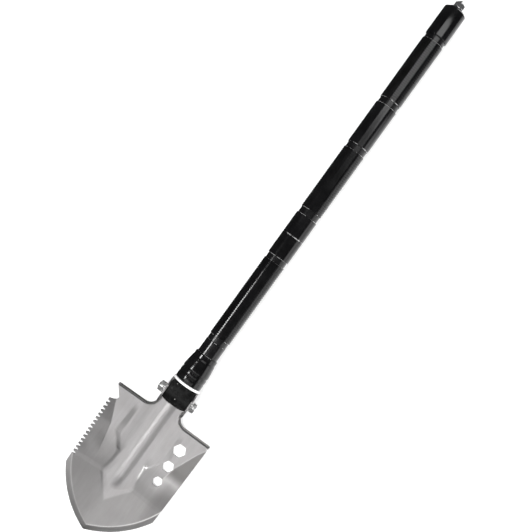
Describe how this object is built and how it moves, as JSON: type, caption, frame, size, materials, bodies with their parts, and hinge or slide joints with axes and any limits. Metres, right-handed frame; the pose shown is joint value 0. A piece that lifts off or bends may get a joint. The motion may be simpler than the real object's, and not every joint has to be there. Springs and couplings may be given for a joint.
{
  "type": "camp shovel",
  "caption": "Folding camp shovel with a pointed steel blade, saw edge, wrench holes, locking hinge and a black tube handle that unscrews into lengths.",
  "frame": {"origin": "centre of the bounding box at the surface it lies on", "axes": "+X runs along the handle from the blade to the tail cap, +Z out of the blade's hollow front face, +Y towards the saw edge"},
  "size_m": [0.8386, 0.145, 0.046],
  "materials": {
    "blade_steel": "satin stainless sheet with a faint grain",
    "black_anodised": "glossy black anodised",
    "black_oxide_steel": "black oxide, semi-gloss",
    "polished_steel": "polished",
    "zinc_steel": "zinc plated",
    "bare_aluminium": "machined",
    "bronze": "machined",
    "seal_rubber": "matt"
  },
  "bodies": {
    "lower_handle": {"hinge_block": "black_oxide_steel", "pivot_bolt": "zinc_steel", "pivot_nut": "zinc_steel", "bolt_washer": "zinc_steel", "nut_washer": "zinc_steel", "pivot_bush": "bronze", "stem_pin": "zinc_steel", "neck_collar": "black_anodised", "lower_tube": "black_anodised", "lower_grip": "black_anodised", "lower_collar": "black_anodised", "lower_socket": "bare_aluminium"},
    "blade": {"blade": "blade_steel"},
    "pressure_ring": {"pressure_ring": "polished_steel"},
    "lock_nut": {"lock_nut": "black_anodised"},
    "middle_seal": {"middle_seal": "seal_rubber"},
    "middle_handle": {"middle_spigot": "bare_aluminium", "middle_tube": "black_anodised", "joint_collar": "black_anodised", "middle_grip": "black_anodised", "middle_collar": "black_anodised", "middle_socket": "bare_aluminium"},
    "upper_seal": {"upper_seal": "seal_rubber"},
    "upper_handle": {"upper_spigot": "bare_aluminium", "upper_tube": "black_anodised", "upper_grip": "black_anodised", "upper_socket": "bare_aluminium"},
    "cap_seal": {"cap_seal": "seal_rubber"},
    "tail": {"tail_cap": "black_anodised", "glass_breaker": "polished_steel"}
  },
  "joints": [
    {"name": "blade_fold", "type": "hinge", "parent": "lower_handle", "child": "blade", "pos_m": [-0.20525, 0, 0.0261], "axis": [0, 1, 0], "range_deg": [0, 180]},
    {"name": "ring_slide", "type": "slide", "parent": "lower_handle", "child": "pressure_ring", "axis": [1, 0, 0], "range_m": [-0.0011, 0]},
    {"name": "lock_nut_turn", "type": "hinge", "parent": "pressure_ring", "child": "lock_nut", "pos_m": [-0.16, 0, 0.0261], "axis": [1, 0, 0], "range_deg": [-198, 0]},
    {"name": "middle_slide", "type": "slide", "parent": "lower_handle", "child": "middle_seal", "axis": [1, 0, 0], "range_m": [0, 0.018]},
    {"name": "middle_unscrew", "type": "hinge", "parent": "middle_seal", "child": "middle_handle", "pos_m": [0.14895, 0, 0.0261], "axis": [1, 0, 0], "range_deg": [0, 2160]},
    {"name": "upper_slide", "type": "slide", "parent": "middle_handle", "child": "upper_seal", "axis": [1, 0, 0], "range_m": [0, 0.018]},
    {"name": "upper_unscrew", "type": "hinge", "parent": "upper_seal", "child": "upper_handle", "pos_m": [0.30535, 0, 0.0261], "axis": [1, 0, 0], "range_deg": [0, 2160]},
    {"name": "cap_slide", "type": "slide", "parent": "upper_handle", "child": "cap_seal", "axis": [1, 0, 0], "range_m": [0, 0.018]},
    {"name": "cap_unscrew", "type": "hinge", "parent": "cap_seal", "child": "tail", "pos_m": [0.38305, 0, 0.0261], "axis": [1, 0, 0], "range_deg": [0, 2160]}
  ],
  "couplings": [
    {"joint": "lock_nut_turn", "follows": "ring_slide", "rad_per_m": 3141.6},
    {"joint": "middle_unscrew", "follows": "middle_slide", "rad_per_m": 2094.4},
    {"joint": "upper_unscrew", "follows": "upper_slide", "rad_per_m": 2094.4},
    {"joint": "cap_unscrew", "follows": "cap_slide", "rad_per_m": 2094.4}
  ]
}
